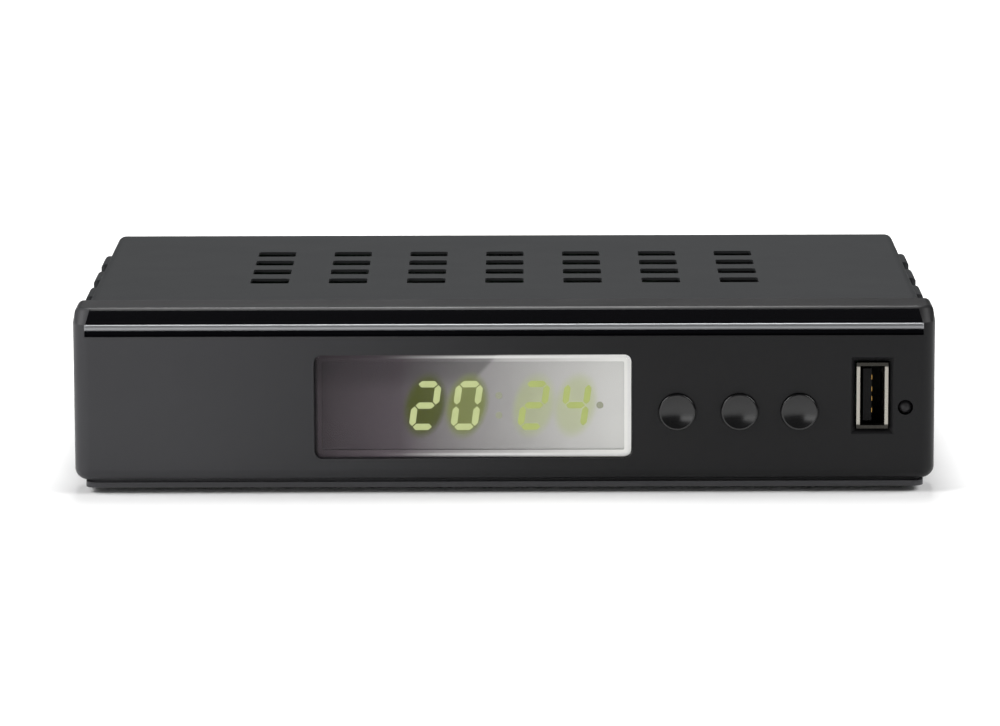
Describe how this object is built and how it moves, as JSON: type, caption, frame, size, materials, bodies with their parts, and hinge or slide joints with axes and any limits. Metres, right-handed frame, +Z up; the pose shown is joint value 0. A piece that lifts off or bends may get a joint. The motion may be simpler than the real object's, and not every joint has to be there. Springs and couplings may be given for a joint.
{
  "type": "satellite television receiver",
  "caption": "Small set-top satellite receiver: folded steel case, moulded front with clock window, three push buttons and USB socket, and rear aerial, network, video and sound sockets.",
  "frame": {"origin": "middle of the whole object's footprint, on the surface that the feet stand on", "axes": "+X to the right seen from the front, +Y from the front to the back, +Z up"},
  "size_m": [0.18, 0.12, 0.0392],
  "materials": {
    "panel_plastic": "satin moulded ABS, glossy brow",
    "window_acrylic": "smoked acrylic, polished",
    "cover_paint": "satin dark grey powder coat",
    "chassis_zinc": "galvanised sheet",
    "foot_rubber": "matte",
    "screw_steel": "zinc plated",
    "board_laminate": "green solder mask",
    "standoff_brass": "turned",
    "display_black": "black potting",
    "segment_resin": "lit yellow-green",
    "switch_plastic": "moulded",
    "switch_steel": "bright",
    "button_plastic": "glossy dished caps",
    "sensor_resin": "dark resin",
    "lamp_resin": "diffused resin",
    "lead_tin": "tinned wire",
    "usb_nickel": "nickel plated",
    "socket_black": "moulded",
    "contact_gold": "gold flashed",
    "ribbon_pvc": "grey flat cable",
    "plug_plastic": "moulded",
    "tuner_tin": "tinned sheet",
    "socket_nickel": "nickel plated",
    "core_white": "white moulding",
    "core_orange": "orange moulding",
    "core_yellow": "yellow moulding",
    "core_red": "red moulding",
    "chip_epoxy": "black epoxy",
    "pad_silicone": "soft pad",
    "sink_aluminium": "black anodised",
    "coil_ferrite": "pressed ferrite",
    "can_aluminium": "sleeved cans",
    "crystal_nickel": "bright can",
    "chip_ceramic": "ceramic"
  },
  "bodies": {
    "receiver": {"board_screws": "screw_steel", "board_standoffs": "standoff_brass", "chassis": "chassis_zinc", "chip_capacitors": "chip_ceramic", "cover_screws": "screw_steel", "crystal_can": "crystal_nickel", "dc_jack_housing": "socket_black", "dc_jack_pin": "lead_tin", "display_module": "display_black", "display_segments": "segment_resin", "display_window": "window_acrylic", "electrolytic_capacitors": "can_aluminium", "ethernet_contacts": "contact_gold", "ethernet_housing": "socket_black", "ethernet_shield": "usb_nickel", "f_contacts": "contact_gold", "f_insulators": "core_white", "f_nuts": "socket_nickel", "f_washers": "socket_nickel", "front_board": "board_laminate", "front_board_screws": "screw_steel", "front_panel": "panel_plastic", "hdmi_shell": "usb_nickel", "hdmi_tongue": "socket_black", "heatsink": "sink_aluminium", "indicator_leads": "lead_tin", "indicator_led": "lamp_resin", "ir_receiver": "sensor_resin", "lnb_in_connector": "socket_nickel", "loop_out_connector": "socket_nickel", "main_board": "board_laminate", "main_chip": "chip_epoxy", "memory_chips": "chip_epoxy", "power_inductors": "coil_ferrite", "rca_housing": "socket_black", "rca_insert_orange": "core_orange", "rca_insert_red": "core_red", "rca_insert_white": "core_white", "rca_insert_yellow": "core_yellow", "rca_shells": "socket_nickel", "regulator_chips": "chip_epoxy", "ribbon_cable": "ribbon_pvc", "ribbon_connectors": "plug_plastic", "rubber_feet": "foot_rubber", "switch_bodies": "switch_plastic", "switch_covers": "switch_steel", "thermal_pad": "pad_silicone", "top_cover": "cover_paint", "tuner_board": "board_laminate", "tuner_frame": "tuner_tin", "tuner_lid": "tuner_tin", "usb_contacts": "contact_gold", "usb_insulator": "socket_black", "usb_shell": "usb_nickel"},
    "standby_cap": {"standby_button": "button_plastic"},
    "standby_actuator": {"standby_plunger": "switch_plastic"},
    "channel_down_cap": {"channel_down_button": "button_plastic"},
    "channel_down_actuator": {"channel_down_plunger": "switch_plastic"},
    "channel_up_cap": {"channel_up_button": "button_plastic"},
    "channel_up_actuator": {"channel_up_plunger": "switch_plastic"}
  },
  "joints": [
    {"name": "standby_press", "type": "slide", "parent": "receiver", "child": "standby_cap", "axis": [0, 1, 0], "range_m": [0, 0.0003], "stiffness_N_per_m": 5000},
    {"name": "standby_switch", "type": "slide", "parent": "receiver", "child": "standby_actuator", "axis": [0, 1, 0], "range_m": [0, 0.0003]},
    {"name": "channel_down_press", "type": "slide", "parent": "receiver", "child": "channel_down_cap", "axis": [0, 1, 0], "range_m": [0, 0.0003], "stiffness_N_per_m": 5000},
    {"name": "channel_down_switch", "type": "slide", "parent": "receiver", "child": "channel_down_actuator", "axis": [0, 1, 0], "range_m": [0, 0.0003]},
    {"name": "channel_up_press", "type": "slide", "parent": "receiver", "child": "channel_up_cap", "axis": [0, 1, 0], "range_m": [0, 0.0003], "stiffness_N_per_m": 5000},
    {"name": "channel_up_switch", "type": "slide", "parent": "receiver", "child": "channel_up_actuator", "axis": [0, 1, 0], "range_m": [0, 0.0003]}
  ],
  "couplings": [
    {"joint": "standby_switch", "follows": "standby_press", "ratio": 1},
    {"joint": "channel_down_switch", "follows": "channel_down_press", "ratio": 1},
    {"joint": "channel_up_switch", "follows": "channel_up_press", "ratio": 1}
  ]
}
